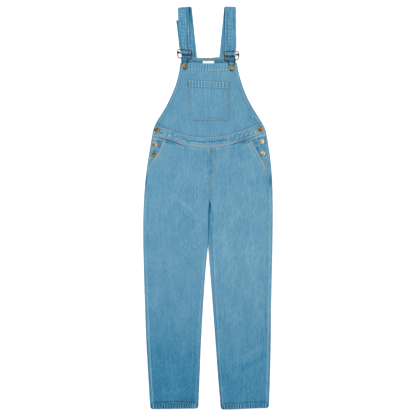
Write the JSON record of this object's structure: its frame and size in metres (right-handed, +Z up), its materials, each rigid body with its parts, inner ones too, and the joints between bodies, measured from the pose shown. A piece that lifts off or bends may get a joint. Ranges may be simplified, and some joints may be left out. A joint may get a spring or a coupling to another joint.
{
  "type": "denim dungarees",
  "caption": "Denim dungarees lying flat: bib with patch pocket, curved waistband, slant pockets with side buttons, straight legs and buckled shoulder straps.",
  "frame": {"origin": "centre of the bounding box, on the surface that the garment lies on", "axes": "+Y towards the neck and the shoulder straps, -Y towards the hems, +X to the wearer's left, +Z up out of the front of the garment"},
  "size_m": [0.4664, 1.4508, 0.0108],
  "materials": {
    "denim": "washed mid-blue cotton twill, matt",
    "antique_brass": "antique brass, dark in its recesses",
    "label_tape": "blank white woven tape"
  },
  "bodies": {
    "root": {"leg_front_left": "denim", "leg_front_right": "denim", "leg_back_left": "denim", "leg_back_right": "denim", "hip_left": "denim", "hip_right": "denim", "waistband_front": "denim", "waistband_back": "denim", "bib_front": "denim", "bib_back": "denim", "bib_pocket": "denim", "strap_left": "denim", "strap_right": "denim", "neck_label": "label_tape", "buckle_wire_left": "antique_brass", "buckle_wire_right": "antique_brass", "buckle_bar_left": "antique_brass", "buckle_bar_right": "antique_brass", "button_bib_left": "antique_brass", "button_bib_right": "antique_brass", "button_waist_left": "antique_brass", "button_waist_right": "antique_brass", "button_upper_left": "antique_brass", "button_upper_right": "antique_brass", "button_lower_left": "antique_brass", "button_lower_right": "antique_brass"}
  },
  "joints": []
}
